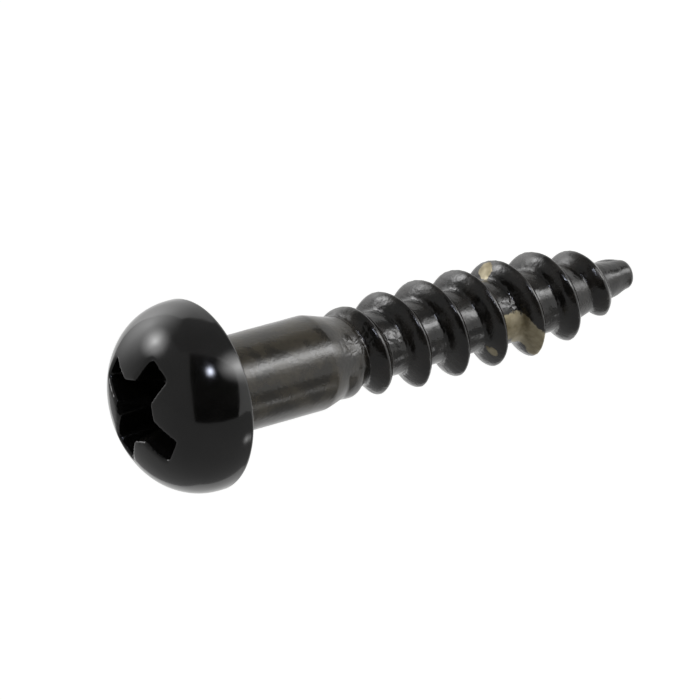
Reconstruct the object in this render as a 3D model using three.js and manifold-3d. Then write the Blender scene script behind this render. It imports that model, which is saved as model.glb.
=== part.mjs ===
// A round-head wood screw with a cross recess. The real one is a single piece of steel wire: the head and
// its recess are struck cold, the thread is rolled on, and the point is rolled to a blunt gimlet end. So it
// is one mesh here too, made by joining a turned blank to a helical ridge and cutting the recess out.
//
// Frame: millimetres, +Z up. The origin is the centre of the head's flat bearing face. The dome rises above
// it, and the shank, the thread and the point run down the Z axis below it. A depth is a distance below the
// bearing face, so a point at some depth has z = -depth.

import * as THREE from "three";
import { mergeVertices } from "three/addons/utils/BufferGeometryUtils.js";
import Module from "manifold-3d";

// Driving dimensions, in millimetres unless a comment says otherwise.

// Head
const headDiameter = 6.96;
const headHeight = 2.88; // from the bearing face to the top of the dome
const rimHeight = 0.25; // the straight edge under the dome
const domeFullness = 2.45; // 2 makes the dome an ellipse, and more makes its shoulder rounder
const rimRounding = 0.08; // where the rim meets the bearing face
const seatFillet = 0.2; // where the bearing face meets the shank

// Shank
const bodyLength = 19.05; // from the bearing face to the tip
const shankDiameter = 3.51;
const shankLength = 4.8; // the plain shank, down to its shoulder
const shoulderLength = 1.2; // the cone from the plain shank down to the neck, where the thread begins
const neckDiameter = 2.84;

// Core
const coreDiameter = 2.48; // between the crests, below the neck
const coreBlend = 0.7; // length in which the neck eases down to the core
const coreEndDiameter = 2.44; // between the crests, where the point begins
const pointLength = 3.65; // the cone at the end of the core
const tipDiameter = 1.0;
const tipRounding = 0.2;

// Thread
const threadDiameter = 3.76; // over the crests
const pitch = 1.69;
const threadLead = 0.25; // how far above the neck the ridge begins
const threadStop = 0.65; // how far above the tip the ridge has died away
const runIn = 3.3; // length along the axis in which the ridge grows to its full height
const runInCurve = 0.45; // 1 lets it grow evenly, and less brings it up faster at first
const runOut = 4.0; // length along the axis in which it dies away
const runOutCurve = 0.7; // 1 lets it die away evenly, and less keeps it high for longer
const ridgeWidth = 1.12; // along the axis, at the foot of the ridge
const startAngle = 162; // degrees from +X to where the ridge begins
const ridgeSink = 0.3; // how far the ridge's base reaches into the core, so that the two join soundly
const footSink = 0.05; // how far below the core's surface the ridge's flanks begin

// Recess
const recessSpan = 4.4; // across two opposite wings, at the top of the dome
const recessDepth = 2.2; // below the top of the dome
const wingWidth = 1.13; // at the top of the dome
const wingEndTaper = 13.25; // degrees that a wing's end leans in towards the axis
const wingSideTaper = 5; // degrees that a wing's sides lean in
const pocketWidth = 2.25; // across the flats of the square pocket between the wings
const pocketTaper = 13.25; // degrees that the pocket's sides lean in
const recessTurn = 33.4; // degrees from +X to the first wing
const cutterRise = 0.5; // how far the cutter stands above the dome, so that the cut is clean

// Fineness of the faceted surfaces
const facetsPerTurn = 36;
const domeRings = 10;
const filletSteps = 3;
const flankSteps = 3;
const sliverSize = 0.002; // facets thinner than this, left where the joins cross, are merged away

// Derived values
const headRadius = headDiameter / 2;
const shankRadius = shankDiameter / 2;
const neckRadius = neckDiameter / 2;
const coreRadius = coreDiameter / 2;
const coreEndRadius = coreEndDiameter / 2;
const crestRadius = threadDiameter / 2;
const tipRadius = tipDiameter / 2;
const shoulderDepth = shankLength + shoulderLength; // where the shoulder's cone meets the neck
const coreDepth = shoulderDepth + coreBlend; // where the core has its own size
const pointDepth = bodyLength - pointLength; // where the core turns into the point
const threadStart = shoulderDepth - threadLead; // depth of the crest where the ridge begins
const threadEnd = bodyLength - threadStop; // depth of the crest where the ridge has died away

const { clamp, lerp, mapLinear, smoothstep, degToRad } = THREE.MathUtils;

const wasm = await Module();
wasm.setup();

// A closed three.js geometry as a solid, with the vertices that share a place merged.
function solidFrom(geometry) {
  const bare = geometry.clone();
  bare.deleteAttribute("normal");
  bare.deleteAttribute("uv");
  const merged = mergeVertices(bare);
  return new wasm.Manifold(
    new wasm.Mesh({
      numProp: 3,
      vertProperties: new Float32Array(merged.attributes.position.array),
      triVerts: new Uint32Array(merged.index.array),
    }),
  );
}

// The solid as a three.js geometry, with a flat normal on each face.
function geometryFrom(solid) {
  const mesh = solid.getMesh();
  const shared = new THREE.BufferGeometry();
  shared.setAttribute("position", new THREE.BufferAttribute(mesh.vertProperties, 3));
  shared.setIndex(new THREE.BufferAttribute(mesh.triVerts, 1));
  const faceted = shared.toNonIndexed();
  faceted.computeVertexNormals();
  return faceted;
}

// The radius of the body under the thread: the neck, the slightly tapered core, and the point's cone.
function rootRadius(depth) {
  if (depth > pointDepth) {
    return mapLinear(depth, pointDepth, bodyLength, coreEndRadius, tipRadius);
  }
  const core = mapLinear(Math.max(depth, coreDepth), coreDepth, pointDepth, coreRadius, coreEndRadius);
  return lerp(neckRadius, core, smoothstep(depth, shoulderDepth, coreDepth));
}

// Points of a round corner between two points, bulging towards a third.
function roundedCorner(from, corner, to) {
  return new THREE.QuadraticBezierCurve(from, corner, to).getPoints(filletSteps);
}

// The blank's half outline: from the tip up to the head, out under it, and over the dome to its top.
function blankOutline() {
  const at = (radius, depth) => new THREE.Vector2(radius, -depth);
  const onRoot = (depth) => at(rootRadius(depth), depth);
  const tip = roundedCorner(
    at(tipRadius - tipRounding, bodyLength),
    onRoot(bodyLength),
    onRoot(bodyLength - tipRounding),
  );
  const underHead = roundedCorner(
    at(shankRadius, seatFillet),
    at(shankRadius, 0),
    at(shankRadius + seatFillet, 0),
  );
  const rim = roundedCorner(
    at(headRadius - rimRounding, 0),
    at(headRadius, 0),
    at(headRadius, -rimRounding),
  );
  const dome = [];
  for (let ring = 0; ring < domeRings; ring++) {
    const lean = ((ring / domeRings) * Math.PI) / 2;
    const radius = headRadius * Math.cos(lean) ** (2 / domeFullness);
    dome.push(at(radius, -lerp(rimHeight, headHeight, Math.sin(lean))));
  }
  const blendMiddle = (shoulderDepth + coreDepth) / 2;
  return [
    at(0, bodyLength),
    ...tip,
    ...[pointDepth, coreDepth, blendMiddle, shoulderDepth].map(onRoot),
    at(shankRadius, shankLength),
    ...underHead,
    ...rim,
    ...dome,
    at(0, -headHeight),
  ];
}

// The turned blank. A lathe turns about Y, so it is stood up along Z.
function blank() {
  return solidFrom(new THREE.LatheGeometry(blankOutline(), facetsPerTurn).rotateX(Math.PI / 2));
}

// The ridge's section. Its x is 0 at the foot and 1 at the crest, or -1 along the buried base. Its y is a
// distance along the axis. The flanks follow a cosine, so both the crest and the foot are round.
function ridgeSection() {
  const halfWidth = ridgeWidth / 2;
  const section = new THREE.Shape();
  section.moveTo(-1, -halfWidth);
  for (let step = -flankSteps; step <= flankSteps; step++) {
    const across = step / flankSteps;
    section.lineTo((1 + Math.cos(Math.PI * across)) / 2, across * halfWidth);
  }
  section.lineTo(-1, halfWidth);
  return section;
}

// How far the crest stands off the body at a depth. Both ends of the ridge lie below the surface.
function ridgeHeight(depth) {
  const buried = -2 * footSink;
  const grown = clamp((depth - threadStart) / runIn, 0, 1) ** runInCurve;
  const left = clamp((threadEnd - depth) / runOut, 0, 1) ** runOutCurve;
  const crest = lerp(neckRadius + buried, crestRadius, grown);
  return lerp(buried, crest - rootRadius(depth), left);
}

// The thread: a straight bar with the ridge's section, wound down the core as a right-hand helix.
function threadRidge() {
  const turns = (threadEnd - threadStart) / pitch;
  const bar = new THREE.ExtrudeGeometry(ridgeSection(), {
    depth: turns,
    steps: Math.round(turns * facetsPerTurn),
    bevelEnabled: false,
  });
  const places = bar.getAttribute("position");
  for (let i = 0; i < places.count; i++) {
    const share = places.getX(i);
    const turn = places.getZ(i);
    const crestDepth = threadStart + pitch * turn;
    const depth = crestDepth - places.getY(i); // taken away, so that the wound bar's faces still point out
    const rise = share < 0 ? -ridgeSink : lerp(-footSink, ridgeHeight(crestDepth), share);
    const radius = rootRadius(depth) + rise;
    const angle = degToRad(startAngle - 360 * turn);
    places.setXYZ(i, radius * Math.cos(angle), radius * Math.sin(angle), -depth);
  }
  return solidFrom(bar);
}

// A bar that stands over the head's centre and narrows downwards to the recess's floor. Its length and
// width are those at the top of the dome.
function taperedBar(length, width, endTaper, sideTaper) {
  const bar = new THREE.BoxGeometry(1, 1, recessDepth + cutterRise);
  bar.translate(0, 0, headHeight - (recessDepth - cutterRise) / 2);
  const places = bar.getAttribute("position");
  for (let i = 0; i < places.count; i++) {
    const narrowing = 2 * (headHeight - places.getZ(i));
    const x = places.getX(i) * (length - narrowing * Math.tan(degToRad(endTaper)));
    const y = places.getY(i) * (width - narrowing * Math.tan(degToRad(sideTaper)));
    places.setXY(i, x, y);
  }
  return bar;
}

// The recess: two crossed wings, and a square pocket that cuts away the corners between them.
function recessCutter() {
  const turned = (bar, degrees) => solidFrom(bar.rotateZ(degToRad(recessTurn + degrees)));
  const wing = (degrees) =>
    turned(taperedBar(recessSpan, wingWidth, wingEndTaper, wingSideTaper), degrees);
  const pocket = turned(taperedBar(pocketWidth, pocketWidth, pocketTaper, pocketTaper), 45);
  return wing(0).add(wing(90)).add(pocket);
}

const lacqueredSteel = new THREE.MeshStandardMaterial({
  color: 0x141412,
  roughness: 0.25,
  metalness: 0,
});

const screwBody = blank().add(threadRidge()).subtract(recessCutter()).simplify(sliverSize);

const screw = new THREE.Mesh(geometryFrom(screwBody), lacqueredSteel);
screw.name = "wood_screw";

const woodScrew = new THREE.Group();
woodScrew.add(screw);

export default woodScrew;
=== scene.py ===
import math

import bpy
from mathutils import Matrix, Vector, noise


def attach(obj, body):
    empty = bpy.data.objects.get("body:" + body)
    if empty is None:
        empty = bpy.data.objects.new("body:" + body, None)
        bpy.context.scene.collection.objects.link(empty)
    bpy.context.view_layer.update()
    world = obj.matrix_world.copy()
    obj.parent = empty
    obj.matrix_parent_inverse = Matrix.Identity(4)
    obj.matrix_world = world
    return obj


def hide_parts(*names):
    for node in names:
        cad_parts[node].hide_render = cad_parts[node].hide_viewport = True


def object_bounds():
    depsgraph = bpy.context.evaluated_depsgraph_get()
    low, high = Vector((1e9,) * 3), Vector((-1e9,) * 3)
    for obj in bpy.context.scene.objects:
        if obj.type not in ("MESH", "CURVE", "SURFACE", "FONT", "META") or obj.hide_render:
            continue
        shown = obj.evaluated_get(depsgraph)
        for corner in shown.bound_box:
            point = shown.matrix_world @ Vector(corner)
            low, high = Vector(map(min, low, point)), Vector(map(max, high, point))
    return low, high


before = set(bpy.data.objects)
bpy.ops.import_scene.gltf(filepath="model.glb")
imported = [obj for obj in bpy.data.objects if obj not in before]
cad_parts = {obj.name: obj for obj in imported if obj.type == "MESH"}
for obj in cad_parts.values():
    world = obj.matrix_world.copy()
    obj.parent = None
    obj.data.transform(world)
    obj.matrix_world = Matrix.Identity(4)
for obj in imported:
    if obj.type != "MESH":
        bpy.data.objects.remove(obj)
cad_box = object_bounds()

# A round-head wood screw in black lacquer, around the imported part's frame. The frame's origin is the centre
# of the head's bearing face, with the dome above it and the shank, thread and point below it.
#
# The screw is modelled with 1 Blender unit as 1 mm, because Blender's own thresholds suit that size, and the
# finished mesh is brought down to metres at the end. A depth is a distance below the bearing face, an angle
# is in degrees round the axis from +X, and every other length is in mm.

MM = 0.001

# ---- sizes ----

# The frame gives the body's length and the head's radius. The others repeat the part's own, except the rim's
# and tip's rounding, the shoulder's curve, the ridge's section and first turn, the bend of the wire, and the
# recess's place and lips.

BODY_LENGTH = -cad_box[0].z / MM
HEAD_RADIUS = cad_box[1].x / MM
FULL_HEIGHT = 2.88  # to the crown of the whole dome, which the recess takes away
RIM_HEIGHT = 0.25
DOME_FULLNESS = 2.45
RIM_ROUNDING = 0.1
SEAT_FILLET = 0.2
SEAT_SINK = 0.01  # how far below the bearing face the fillet under the head begins
BODY_OVERLAP = 0.4  # how far the body reaches up into the head, so that the two join soundly

SHANK_RADIUS = 1.755
SHANK_LENGTH = 4.8
SHOULDER_LENGTH = 1.2
SHOULDER_CURVE = 0.3  # 0 makes the shoulder a straight cone, and 1 a full S
NECK_RADIUS = 1.42
CORE_RADIUS = 1.24
CORE_BLEND = 0.7
CORE_END_RADIUS = 1.22
POINT_LENGTH = 3.65
TIP_RADIUS = 0.5
TIP_ROUNDING = 0.3

CREST_RADIUS = 1.88
PITCH = 1.69
THREAD_START = 5.4
THREAD_STOP = 0.65
START_ANGLE = 236.5
LAG = 0.38  # how much deeper than on an even helix a crest lies, one LAG_LENGTH above LAG_END
LAG_LENGTH = 1.63
LAG_END = 7.3
RISE_START = 5.8
RUN_IN = 3.3
RUN_IN_CURVE = 0.45
RUN_OUT = 4.0
RUN_OUT_CURVE = 0.7
RIDGE_ABOVE = 0.48  # from the crest to the ridge's foot on the head's side
RIDGE_BELOW = 0.45  # and on the tip's side
CREST_SHARPNESS = 0.3  # 0 rounds the ridge's crest fully, and 1 gives it straight flanks
BARE_SHARPNESS = 0.4  # how much sharper the crest is without its coat

# The wire is a little bent: the thread's end lies off the axis, and the point leans back.
BOW = 0.04
BOW_SPAN = (10, 16)
TIP_LEAN = 0.1
TIP_LEAN_LEAD = 1.5  # how far down the point the lean begins

RECESS_SPAN = 4.4
RECESS_DEPTH = 2.2
WING_WIDTH = 1.13
WING_END_TAPER = 13.25
WING_SIDE_TAPER = 5
POCKET_WIDTH = 2.25
RECESS_TURN = 33.4
RECESS_OFFSET = (0.03, -0.08)
RECESS_RISE = 0.5  # how far the cutters stand above the dome
RECESS_ROUNDING = 0.12
LIP = (0.15, 0.4)  # from where to where outside the mouth the rounded lip runs out into the dome

# ---- mesh fineness and the unevenness of the dipped coat ----

COLUMNS = 128
DOME_RINGS = 48
THREAD_STEP = 0.06
SHANK_STEP = 0.25
HEAD_VOXEL = 0.055
COAT_LUMP = 0.6
COAT_SAG = 1.7
LUMP_SHARES = (0.6, 0.7)
SHANK_LUMPS = 0.008
THREAD_LUMPS = 0.035
TIP_LUMPS = 0.08
TIP_LUMPS_LEAD = 1.5  # how far above the thread's end the tip's heavy lumps begin

BARE_EDGE = (0.7, 1.2)  # from where to where the coat thickens round a bare spot, in shares of its radius

# Where the coat has chipped off or never took, and where it wrinkled: (depth, angle, radius, distance from
# the axis).
BARE_SPOTS = [
    (12.9, -120, 0.6, 1.3), (13.5, -148, 0.78, 1.55), (13.9, -166, 0.42, 1.84),
    (12.85, -6, 0.42, 1.62), (11.72, -151, 0.4, 1.64),
]
WRINKLED_SPOTS = [(6.0, -78, 0.7, 1.45), (7.6, -96, 0.5, 1.3), (13.0, -84, 0.5, 1.3)]

SHOULDER_DEPTH = SHANK_LENGTH + SHOULDER_LENGTH
CORE_DEPTH = SHOULDER_DEPTH + CORE_BLEND
POINT_DEPTH = BODY_LENGTH - POINT_LENGTH
THREAD_END = BODY_LENGTH - THREAD_STOP


def clamp(x):
    return min(1.0, max(0.0, x))


def smoothstep(x, low, high):
    t = clamp((x - low) / (high - low))
    return t * t * (3 - 2 * t)


def lerp(a, b, t):
    return a + (b - a) * t


def on_body(depth, angle, distance):
    """The point at a depth, an angle and a distance from the axis."""
    a = math.radians(angle)
    return Vector((distance * math.cos(a), distance * math.sin(a), -depth))


# ---- mesh tools ----

def take(piece):
    """Makes one object the only selected and the active one."""
    bpy.ops.object.select_all(action="DESELECT")
    piece.select_set(True)
    bpy.context.view_layer.objects.active = piece


def finish_modifier(piece, kind, **settings):
    """Adds a modifier with its settings and applies it."""
    take(piece)
    modifier = piece.modifiers.new(kind.lower(), kind)
    for name, value in settings.items():
        setattr(modifier, name, value)
    bpy.ops.object.modifier_apply(modifier=modifier.name)


def turned(name, outline):
    """A closed solid turned about Z from (radius, height) points that start and end on the axis."""
    bpy.ops.object.select_all(action="DESELECT")
    bpy.ops.mesh.primitive_plane_add(size=1)
    piece = bpy.context.object
    piece.name = name
    bpy.ops.object.mode_set(mode="EDIT")
    bpy.ops.mesh.merge(type="CENTER")
    here = Vector((0, 0, 0))
    for number, (radius, height) in enumerate(outline):
        there = Vector((radius, 0, height))
        if number == 0:
            bpy.ops.transform.translate(value=there - here)
        else:
            bpy.ops.mesh.extrude_region_move(TRANSFORM_OT_translate={"value": there - here})
        here = there
    bpy.ops.mesh.select_all(action="SELECT")
    bpy.ops.mesh.spin(steps=COLUMNS, angle=2 * math.pi, center=(0, 0, 0), axis=(0, 0, 1))
    bpy.ops.mesh.select_all(action="SELECT")
    bpy.ops.mesh.remove_doubles(threshold=0.001)
    bpy.ops.mesh.normals_make_consistent(inside=False)
    bpy.ops.object.mode_set(mode="OBJECT")
    return piece


# ---- head ----

def dome_point(lean):
    """Radius and height on the dome, from the rim at a lean of 0 to the crown at a right angle."""
    return (
        HEAD_RADIUS * math.cos(lean) ** (2 / DOME_FULLNESS),
        lerp(RIM_HEIGHT, FULL_HEIGHT, math.sin(lean)),
    )


def head_outline():
    points = [(0, 0), (1.0, 0), (HEAD_RADIUS - RIM_ROUNDING, 0)]
    for step in (1, 2, 3):
        a = step * math.pi / 8
        points.append((HEAD_RADIUS - RIM_ROUNDING * (1 - math.sin(a)), RIM_ROUNDING * (1 - math.cos(a))))
    points += [dome_point(ring / DOME_RINGS * math.pi / 2) for ring in range(DOME_RINGS)]
    return points + [(0, FULL_HEIGHT)]


def tapered_bar(name, length, width, end_taper, side_taper, turn):
    """A cutter that stands over the recess's centre and narrows down to its floor."""
    bpy.ops.object.select_all(action="DESELECT")
    bpy.ops.mesh.primitive_cube_add(size=1)
    bar = bpy.context.object
    bar.name = name
    bpy.ops.object.mode_set(mode="EDIT")
    tall = RECESS_DEPTH + RECESS_RISE
    ends, sides = math.tan(math.radians(end_taper)), math.tan(math.radians(side_taper))
    top_length, top_width = length + 2 * RECESS_RISE * ends, width + 2 * RECESS_RISE * sides
    bpy.ops.transform.resize(value=(top_length, top_width, tall))
    bpy.ops.transform.translate(value=(0, 0, FULL_HEIGHT + RECESS_RISE - tall / 2))
    bpy.ops.mesh.select_all(action="DESELECT")
    bpy.ops.object.mode_set(mode="OBJECT")
    for face in bar.data.polygons:
        face.select = face.normal.z < -0.5
    bpy.ops.object.mode_set(mode="EDIT")
    bpy.ops.transform.resize(
        value=(
            (length - 2 * RECESS_DEPTH * ends) / top_length,
            (width - 2 * RECESS_DEPTH * sides) / top_width,
            1,
        )
    )
    bpy.ops.mesh.select_all(action="SELECT")
    bpy.ops.mesh.bevel(offset=RECESS_ROUNDING, segments=3, affect="EDGES")
    bpy.ops.object.mode_set(mode="OBJECT")
    offset = Matrix.Translation((*RECESS_OFFSET, 0))
    bar.data.transform(offset @ Matrix.Rotation(math.radians(turn), 4, "Z"))
    return bar


RECESS_BARS = [
    ("wing", RECESS_SPAN, WING_WIDTH, WING_END_TAPER, WING_SIDE_TAPER, RECESS_TURN),
    ("wing", RECESS_SPAN, WING_WIDTH, WING_END_TAPER, WING_SIDE_TAPER, RECESS_TURN + 90),
    ("pocket", POCKET_WIDTH, POCKET_WIDTH, WING_END_TAPER, WING_END_TAPER, RECESS_TURN + 45),
]


def recess_gap(x, y):
    """How far a point in plan lies outside the mouth of the recess."""
    gaps = []
    for _, length, width, _, _, turn in RECESS_BARS:
        a = math.radians(turn)
        dx, dy = x - RECESS_OFFSET[0], y - RECESS_OFFSET[1]
        along = abs(dx * math.cos(a) + dy * math.sin(a)) - length / 2
        across = abs(dy * math.cos(a) - dx * math.sin(a)) - width / 2
        gaps.append(math.hypot(max(along, 0), max(across, 0)))
    return min(gaps)


def true_place(x, y, z):
    """The nearest place on the plain dome, rim or bearing face."""
    radius = math.hypot(x, y)
    if z < RIM_ROUNDING and radius > HEAD_RADIUS - RIM_ROUNDING:
        dr, dz = radius - HEAD_RADIUS + RIM_ROUNDING, z - RIM_ROUNDING
        reach = RIM_ROUNDING / math.hypot(dr, dz)
        new_radius, new_z = HEAD_RADIUS - RIM_ROUNDING + dr * reach, RIM_ROUNDING + dz * reach
    elif z < RIM_ROUNDING:
        new_radius, new_z = radius, 0
    elif z < RIM_HEIGHT:
        new_radius, new_z = HEAD_RADIUS, z
    else:
        rise = (z - RIM_HEIGHT) / (FULL_HEIGHT - RIM_HEIGHT)
        low, high = 0.5, 2.0
        for _ in range(16):
            scale = (low + high) / 2
            outside = (scale * radius / HEAD_RADIUS) ** DOME_FULLNESS + (scale * rise) ** 2 > 1
            low, high = (low, scale) if outside else (scale, high)
        new_radius, new_z = radius * scale, lerp(RIM_HEIGHT, FULL_HEIGHT, rise * scale)
    grow = new_radius / max(radius, 1e-6)
    return Vector((x * grow, y * grow, new_z))


def make_head():
    """Turned, recessed, remeshed to round the recess's lips with coat, and trued up away from them."""
    head = turned("head", head_outline())
    for bar in [tapered_bar(*row) for row in RECESS_BARS]:
        finish_modifier(head, "BOOLEAN", object=bar, operation="DIFFERENCE", solver="EXACT")
        bpy.data.objects.remove(bar)
    finish_modifier(head, "REMESH", mode="VOXEL", voxel_size=HEAD_VOXEL)
    finish_modifier(head, "SMOOTH", factor=0.5, iterations=18)
    for vertex in head.data.vertices:
        x, y, z = vertex.co
        trueness = smoothstep(recess_gap(x, y), *LIP) if z > RIM_HEIGHT else 1
        if trueness > 0:
            vertex.co = vertex.co.lerp(true_place(x, y, z), trueness)
    return head


# ---- shank, thread and point ----

def root_radius(depth):
    if depth < SHANK_LENGTH:
        return SHANK_RADIUS
    if depth > POINT_DEPTH:
        return lerp(CORE_END_RADIUS, TIP_RADIUS, (depth - POINT_DEPTH) / POINT_LENGTH)
    if depth < SHOULDER_DEPTH:
        along = (depth - SHANK_LENGTH) / SHOULDER_LENGTH
        return lerp(SHANK_RADIUS, NECK_RADIUS, lerp(along, smoothstep(along, 0, 1), SHOULDER_CURVE))
    core = lerp(CORE_RADIUS, CORE_END_RADIUS, clamp((depth - CORE_DEPTH) / (POINT_DEPTH - CORE_DEPTH)))
    return lerp(NECK_RADIUS, core, smoothstep(depth, SHOULDER_DEPTH, CORE_DEPTH))


def body_outline():
    flange = SHANK_RADIUS + SEAT_FILLET
    points = [(0, BODY_OVERLAP), (flange, BODY_OVERLAP), (flange, -SEAT_SINK)]
    for step in range(1, 7):
        a = step / 6 * math.pi / 2
        points.append((flange - SEAT_FILLET * math.sin(a), -SEAT_SINK - SEAT_FILLET * (1 - math.cos(a))))
    depth = SEAT_FILLET + SHANK_STEP
    while depth < BODY_LENGTH - TIP_ROUNDING:
        points.append((root_radius(depth), -depth))
        depth += SHANK_STEP if depth < SHANK_LENGTH - SHANK_STEP else THREAD_STEP
    edge = root_radius(BODY_LENGTH - TIP_ROUNDING)
    for step in range(9):
        a = step / 8 * math.pi / 2
        height = TIP_ROUNDING * (1 - math.sin(a)) - BODY_LENGTH
        points.append((edge - TIP_ROUNDING * (1 - math.cos(a)), height))
    points += [((edge - TIP_ROUNDING) * k / 3, -BODY_LENGTH) for k in (2, 1, 0)]
    return points


def laid(depth):
    """Where the crest that an even helix has at a depth really lies: the first turn is laid flatter."""
    return depth + LAG * (max(0.0, LAG_END - depth) / LAG_LENGTH) ** 2


def bareness(point):
    """1 in the middle of a bare spot, 0 outside all of them."""
    most = 0.0
    for depth, angle, radius, distance in BARE_SPOTS:
        gap = (point - on_body(depth, angle, distance)).length
        inner, outer = (share * radius for share in BARE_EDGE)
        most = max(most, 1 - smoothstep(gap, inner, outer))
    return most


def ridge_height(angle, depth, bare):
    """How far the thread stands off the root at an angle and a depth."""
    first = THREAD_START + PITCH * (START_ANGLE - angle) / 360
    turn = math.floor((depth - first) / PITCH)
    most = 0.0
    for number in (turn - 1, turn, turn + 1):
        if first + number * PITCH < THREAD_START:
            continue
        crest = laid(first + number * PITCH)
        across = depth - crest
        share = 1 - abs(across) / (RIDGE_BELOW if across > 0 else RIDGE_ABOVE)
        if share <= 0 or crest < RISE_START or crest > THREAD_END:
            continue
        outer = lerp(NECK_RADIUS, CREST_RADIUS, clamp((crest - RISE_START) / RUN_IN) ** RUN_IN_CURVE)
        height = (outer - root_radius(crest)) * clamp((THREAD_END - crest) / RUN_OUT) ** RUN_OUT_CURVE
        profile = lerp(share * (2 - share), share, CREST_SHARPNESS + BARE_SHARPNESS * bare)
        most = max(most, height * profile)
    return most


def coat_lumps(point):
    """How far the uneven coat stands off the metal."""
    depth = -point.z
    amount = lerp(SHANK_LUMPS, THREAD_LUMPS, smoothstep(depth, SHANK_LENGTH, SHOULDER_DEPTH))
    amount = lerp(amount, TIP_LUMPS, smoothstep(depth, THREAD_END - TIP_LUMPS_LEAD, BODY_LENGTH))
    fine, broad = LUMP_SHARES
    return amount * (fine * noise.noise(point / COAT_LUMP) + broad * noise.noise(point / COAT_SAG))


def make_body():
    """The turned blank with its thread raised and its coat's lumps, by moving the blank's own vertices."""
    body = turned("body", body_outline())
    for vertex in body.data.vertices:
        x, y, z = vertex.co
        radius = math.hypot(x, y)
        # The axis and the fillet under the head stay as they are.
        if radius < 1e-6 or z > -2 * SEAT_FILLET:
            continue
        near_tip = clamp((BODY_LENGTH + z) / TIP_ROUNDING)
        bare = bareness(vertex.co)
        rise = coat_lumps(vertex.co) * (1 - bare)
        if z < -SHANK_LENGTH:
            rise += ridge_height(math.degrees(math.atan2(y, x)), -z, bare)
        vertex.co.x *= 1 + rise * near_tip / radius
        vertex.co.y *= 1 + rise * near_tip / radius
        lean = TIP_LEAN * smoothstep(-z, POINT_DEPTH + TIP_LEAN_LEAD, BODY_LENGTH)
        vertex.co.x += lean - BOW * smoothstep(-z, *BOW_SPAN)
    return body


def make_screw():
    """Head and body joined into one closed mesh, in metres."""
    screw = make_head()
    body = make_body()
    finish_modifier(screw, "BOOLEAN", object=body, operation="UNION", solver="EXACT")
    bpy.data.objects.remove(body)
    screw.name = "wood_screw_lacquered"
    screw.data.transform(Matrix.Scale(MM, 4))
    take(screw)
    bpy.ops.object.shade_smooth()
    return screw


screw = make_screw()
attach(screw, "root")
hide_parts("wood_screw")


# ---- material tools ----

def paint(code):
    """A linear colour from an sRGB hex code."""
    parts = [int(code[k:k + 2], 16) / 255 for k in (1, 3, 5)]
    return [p / 12.92 if p <= 0.04045 else ((p + 0.055) / 1.055) ** 2.4 for p in parts] + [1]


def grey(value):
    """A linear grey."""
    return (value, value, value, 1)


def add(tree, kind, inputs=None, **settings):
    """Adds a node: settings go on the node, and inputs are either values or outputs to link from."""
    made = tree.nodes.new("ShaderNode" + kind)
    for name, value in settings.items():
        setattr(made, name, value)
    for socket, value in (inputs or {}).items():
        if isinstance(value, bpy.types.NodeSocket):
            tree.links.new(value, made.inputs[socket])
        else:
            made.inputs[socket].default_value = value
    return made


def new_material(name):
    """A material, its node tree and its own shader."""
    material = bpy.data.materials.new(name)
    material.use_nodes = True
    return material, material.node_tree, material.node_tree.nodes["Principled BSDF"]


def millimetres(tree):
    """Object coordinates in mm."""
    place = add(tree, "TexCoord").outputs["Object"]
    return add(tree, "VectorMath", {0: place, 3: 1 / MM}, operation="SCALE").outputs[0]


def mottle(tree, place, size, low, high, detail=3.0):
    """Noise with blotches of a size in mm, stretched so that low and high become 0 and 1."""
    cloud = add(tree, "TexNoise", {"Vector": place, "Scale": 1 / size, "Detail": detail}).outputs["Fac"]
    return add(tree, "MapRange", {"Value": cloud, "From Min": low, "From Max": high}).outputs["Result"]


# ---- materials: pattern sizes in mm ----

LACQUER_IOR = 1.5
PEEL_SIZE, PEEL_HEIGHT = 0.9, 0.008
SWELL_SIZE, SWELL_HEIGHT = 0.5, 0.028
GRAIN_SIZE, GRAIN_HEIGHT = 0.12, 0.0025  # drawn as coarse as it needs to be to show
WRINKLE_SIZE, WRINKLE_DEPTH = 0.35, 0.013
RAGGED_SIZE = 0.4  # of the bites out of a spot's edge
RAGGED_REACH = 1.1  # how deep the bites go, in shares of the spot's radius
SPOT_EDGE = 1.45  # where the spot's edge lies in the same shares, with the bites' depth counted in
COAT_EDGE = 0.02  # how far below the bearing face the thick coat of the head ends


def gloss_lacquer():
    """Stoving lacquer, dipped and baked: so thick on the head that the eye sees a deep black mirror."""
    material, tree, shader = new_material("black stoving lacquer")
    place = millimetres(tree)
    cloudy = mottle(tree, place, 1.6, 0.35, 0.65)
    shader.inputs["IOR"].default_value = LACQUER_IOR
    coat = {"Factor": cloudy, "A": paint("#080807"), "B": paint("#100f0e")}
    coat = add(tree, "Mix", coat, data_type="RGBA").outputs["Result"]
    tree.links.new(coat, shader.inputs["Base Color"])
    gloss = add(tree, "MapRange", {"Value": cloudy, "To Min": 0.09, "To Max": 0.16}).outputs["Result"]
    tree.links.new(gloss, shader.inputs["Roughness"])
    # Orange peel: the low swell that a dipped coat sets with, which makes its reflections waver.
    peel = add(tree, "TexNoise", {"Vector": place, "Scale": 1 / PEEL_SIZE, "Detail": 1.0}).outputs["Fac"]
    swell = add(tree, "Bump", {"Height": peel, "Distance": PEEL_HEIGHT * MM}).outputs["Normal"]
    tree.links.new(swell, shader.inputs["Normal"])
    return material


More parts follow.
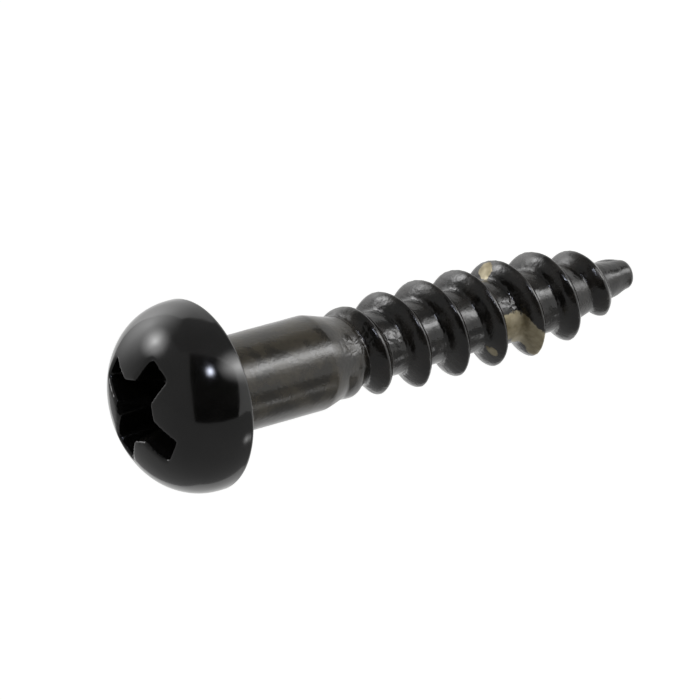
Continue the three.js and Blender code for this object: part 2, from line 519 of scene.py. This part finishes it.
def spots(tree, place, rows, edge):
    """A mask that is 1 in the middle of each (depth, angle, radius, distance) spot, with a ragged edge."""
    ragged = add(tree, "TexNoise", {"Vector": place, "Scale": 1 / RAGGED_SIZE, "Detail": 4.0}).outputs["Fac"]
    mask = None
    for depth, angle, radius, distance in rows:
        centre = on_body(depth, angle, distance)
        gap = add(tree, "VectorMath", {0: place, 1: centre}, operation="DISTANCE").outputs["Value"]
        reach = RAGGED_REACH * radius
        gap = add(tree, "Math", {0: ragged, 1: reach, 2: gap}, operation="MULTIPLY_ADD").outputs[0]
        inner, outer = radius * (SPOT_EDGE - edge), radius * (SPOT_EDGE + edge)
        spot = add(tree, "MapRange", {"Value": gap, "From Min": outer, "From Max": inner}).outputs["Result"]
        mask = spot if mask is None else add(tree, "Math", {0: mask, 1: spot}, operation="MAXIMUM").outputs[0]
    return mask


def thin_lacquer():
    """The same lacquer where it ran thin on the shank and thread.

    The eye sees a satin brown-black on the shank, wetter black on the thread, and dull bare steel in the
    spots where the coat is missing.
    """
    material, tree, shader = new_material("thin black lacquer over steel")
    place = millimetres(tree)
    height = add(tree, "SeparateXYZ", {0: place}).outputs["Z"]
    threaded = add(
        tree, "MapRange", {"Value": height, "From Min": -SHANK_LENGTH, "From Max": -CORE_DEPTH}
    ).outputs["Result"]
    bare = spots(tree, place, BARE_SPOTS, 0.06)
    wrinkled = spots(tree, place, WRINKLED_SPOTS, 0.3)
    cloudy = mottle(tree, place, 0.7, 0.4, 0.62)
    grain = mottle(tree, place, GRAIN_SIZE, 0.3, 0.7, detail=2.0)

    # The shank's coat gives way to the thread's, and both to bare steel.
    steely = mottle(tree, place, 0.5, 0.35, 0.7)
    tones = []
    for share, low, high in (
        (cloudy, "#1e1b15", "#302b20"),
        (cloudy, "#0f0e0c", "#1b1814"),
        (steely, "#6f654b", "#a89f86"),
    ):
        tone = {"Factor": share, "A": paint(low), "B": paint(high)}
        tones.append(add(tree, "Mix", tone, data_type="RGBA").outputs["Result"])
    colour = tones[0]
    for share, tone in ((threaded, tones[1]), (bare, tones[2])):
        mix = {"Factor": share, "A": colour, "B": tone}
        colour = add(tree, "Mix", mix, data_type="RGBA").outputs["Result"]
    tree.links.new(colour, shader.inputs["Base Color"])
    metal = add(tree, "MapRange", {"Value": bare, "To Min": 0.0, "To Max": 0.6}).outputs["Result"]
    tree.links.new(metal, shader.inputs["Metallic"])

    satin = add(tree, "MapRange", {"Value": cloudy, "To Min": 0.16, "To Max": 0.25}).outputs["Result"]
    glossy = add(tree, "MapRange", {"Value": cloudy, "To Min": 0.14, "To Max": 0.28}).outputs["Result"]
    sheen = add(tree, "Mix", {"Factor": threaded, "A": satin, "B": glossy}).outputs["Result"]
    dull = add(tree, "MapRange", {"Value": bare, "To Min": 0.0, "To Max": 0.22}).outputs["Result"]
    rough = add(tree, "Math", {0: sheen, 1: dull}, operation="ADD").outputs[0]
    tree.links.new(rough, shader.inputs["Roughness"])
    shader.inputs["IOR"].default_value = LACQUER_IOR

    # Wrinkles: cells whose borders lie as fine furrows in the spots that cured badly.
    cells = {"Vector": place, "Scale": 1 / WRINKLE_SIZE, "Randomness": 1.0}
    cells = add(tree, "TexVoronoi", cells, feature="DISTANCE_TO_EDGE").outputs["Distance"]
    furrow = {"Value": cells, "From Max": 0.25, "To Min": -1.0, "To Max": 0.0}
    furrow = add(tree, "MapRange", furrow).outputs["Result"]
    furrow = add(tree, "Math", {0: furrow, 1: wrinkled}, operation="MULTIPLY").outputs[0]
    # The coat swells more on the thread than on the shank, and a fine grain lies on both.
    swell = add(tree, "TexNoise", {"Vector": place, "Scale": 1 / SWELL_SIZE, "Detail": 3.0}).outputs["Fac"]
    calm = add(tree, "MapRange", {"Value": threaded, "To Min": 0.2, "To Max": 1.0}).outputs["Result"]
    swell = add(tree, "Math", {0: swell, 1: calm}, operation="MULTIPLY").outputs[0]
    normal = add(tree, "Bump", {"Height": swell, "Distance": SWELL_HEIGHT * MM}).outputs["Normal"]
    for pattern, height in ((grain, GRAIN_HEIGHT), (furrow, WRINKLE_DEPTH)):
        relief = {"Height": pattern, "Distance": height * MM, "Normal": normal}
        normal = add(tree, "Bump", relief).outputs["Normal"]
    tree.links.new(normal, shader.inputs["Normal"])
    return material


def coat_screw():
    """Thick lacquer on the head, and thin lacquer from the bearing face down."""
    screw.data.materials.append(gloss_lacquer())
    screw.data.materials.append(thin_lacquer())
    for face in screw.data.polygons:
        face.material_index = 1 if face.center.z < -COAT_EDGE * MM else 0


coat_screw()


# ---- camera: angles in degrees, and distances, places and the focal length in mm ----

VIEW_TILT = 57.654
VIEW_ROLL = 15.522
VIEW_DISTANCE = 270
SEAT_ACROSS = -5.346
SEAT_UP = -1.558
FOCAL_LENGTH = 393.66


def view_axes():
    """The view's right, up and back directions, for a camera tilted off the screw's axis and rolled."""
    tilt, roll = math.radians(VIEW_TILT), math.radians(VIEW_ROLL)
    back = Vector((0, -math.sin(tilt), math.cos(tilt)))
    right = Vector((-math.sin(roll), -math.cos(tilt) * math.cos(roll), -math.sin(tilt) * math.cos(roll)))
    return right, back.cross(right), back


right, up, back = view_axes()
camera = bpy.data.objects.new("camera", bpy.data.cameras.new("camera"))
bpy.context.scene.collection.objects.link(camera)
place = (back * VIEW_DISTANCE - right * SEAT_ACROSS - up * SEAT_UP) * MM
camera.matrix_world = Matrix.Translation(place) @ Matrix((right, up, back)).transposed().to_4x4()
camera.data.lens = FOCAL_LENGTH
camera.data.clip_start = 1 * MM
bpy.context.scene.camera = camera


# ---- floor, cards and lamps: brightness against a white page, and distances in mm ----

FLOOR_DROP = 450
FLOOR_SIZE = 8000
PAPER_GLOW = 0.75
LAMP_DISTANCE = 285
SIZING_DISTANCE = 300  # where a lamp's sides are worked out from its angles
ROOM = 0.4


def direction(across, high, near):
    """A direction given along the view's right, up and back."""
    return (right * across + up * high + back * near).normalized()


def glowing(name, level):
    """A sheet of plain stuff that shines evenly, with a level of 1 for a white page."""
    material, _, shader = new_material(name)
    shader.inputs["Base Color"].default_value = grey(0.0)
    shader.inputs["Specular IOR Level"].default_value = 0.0
    shader.inputs["Emission Color"].default_value = grey(1.0)
    shader.inputs["Emission Strength"].default_value = level
    return material


def card(name, first, last, level):
    """A flat card that the lacquer mirrors, given by two opposite corners.

    Each corner is (across, high, near), in mm from the screw.
    """
    bpy.ops.object.select_all(action="DESELECT")
    bpy.ops.mesh.primitive_plane_add(size=1)
    sheet = bpy.context.object
    sheet.name = name
    for index, vertex in enumerate(sheet.data.vertices):
        across = (first, last)[index % 2][0]
        high, near = (first, last)[index // 2][1:]
        vertex.co = (right * across + up * high + back * near) * MM
    sheet.data.materials.append(glowing(name, level))
    sheet.visible_camera = False


def glow(name, towards, width, height, level, tint="#ffffff"):
    """A soft lamp, brightest in its middle: width and height are angles, and level is its brightest."""
    bpy.ops.object.select_all(action="DESELECT")
    bpy.ops.mesh.primitive_plane_add(size=2)
    sheet = bpy.context.object
    sheet.name = name
    across, tall = (SIZING_DISTANCE * math.tan(math.radians(side / 2)) for side in (width, height))
    aim = towards.to_track_quat("Z", "Y").to_matrix().to_4x4()
    size = Matrix.Diagonal((across * MM, tall * MM, 1, 1))
    sheet.matrix_world = Matrix.Translation(towards * LAMP_DISTANCE * MM) @ aim @ size
    material, tree, _ = new_material(name)
    # The gradient falls from the sheet's middle to nothing at its edge, and the sheet is clear around it.
    place = add(tree, "TexCoord").outputs["Object"]
    fall = add(tree, "TexGradient", {"Vector": place}, gradient_type="QUADRATIC_SPHERE").outputs["Fac"]
    strength = add(tree, "MapRange", {"Value": fall, "To Min": 0.0, "To Max": level}).outputs["Result"]
    shine = add(tree, "Emission", {"Color": paint(tint), "Strength": strength})
    both = add(tree, "AddShader", {0: shine.outputs[0], 1: add(tree, "BsdfTransparent").outputs[0]})
    tree.links.new(both.outputs[0], tree.nodes["Material Output"].inputs["Surface"])
    sheet.data.materials.append(material)
    sheet.visible_camera = False


def make_studio():
    """White paper far below, cards and lamps around the screw, and a plain grey room."""
    bpy.ops.object.select_all(action="DESELECT")
    bpy.ops.mesh.primitive_plane_add(size=FLOOR_SIZE * MM, location=(0, 0, -FLOOR_DROP * MM))
    floor = bpy.context.object
    floor.name = "floor"
    material, _, shader = new_material("white paper")
    shader.inputs["Base Color"].default_value = paint("#d8d8d6")
    shader.inputs["Roughness"].default_value = 0.9
    shader.inputs["Emission Color"].default_value = grey(1.0)
    shader.inputs["Emission Strength"].default_value = PAPER_GLOW
    floor.data.materials.append(material)

    card("black card", (-134, -212, 300), (420, 290, 300), 0.03)
    card("grey card", (-260, 330, -60), (420, 330, 310), 0.3)
    card("white table", (-700, -200, -150), (700, -200, 285), 0.42)

    glow("key", direction(-0.8, 0.6, 0.04), 42, 42, 11.0)
    glow("key halo", direction(-0.62, 0.66, -0.4), 80, 80, 3.0)
    glow("side", direction(0.8, 0.5, 0.34), 40, 90, 10.0)
    glow("spot", direction(0.14, 0.41, 0.9), 13, 17, 60.0, "#e6ecff")
    glow("glint", direction(0.78, -0.63, 0.04), 14, 14, 6.0)

    world = bpy.data.worlds.new("studio")
    world.use_nodes = True
    world.node_tree.nodes["Background"].inputs["Color"].default_value = grey(ROOM)
    bpy.context.scene.world = world
    bpy.context.scene.view_settings.view_transform = "Standard"


make_studio()
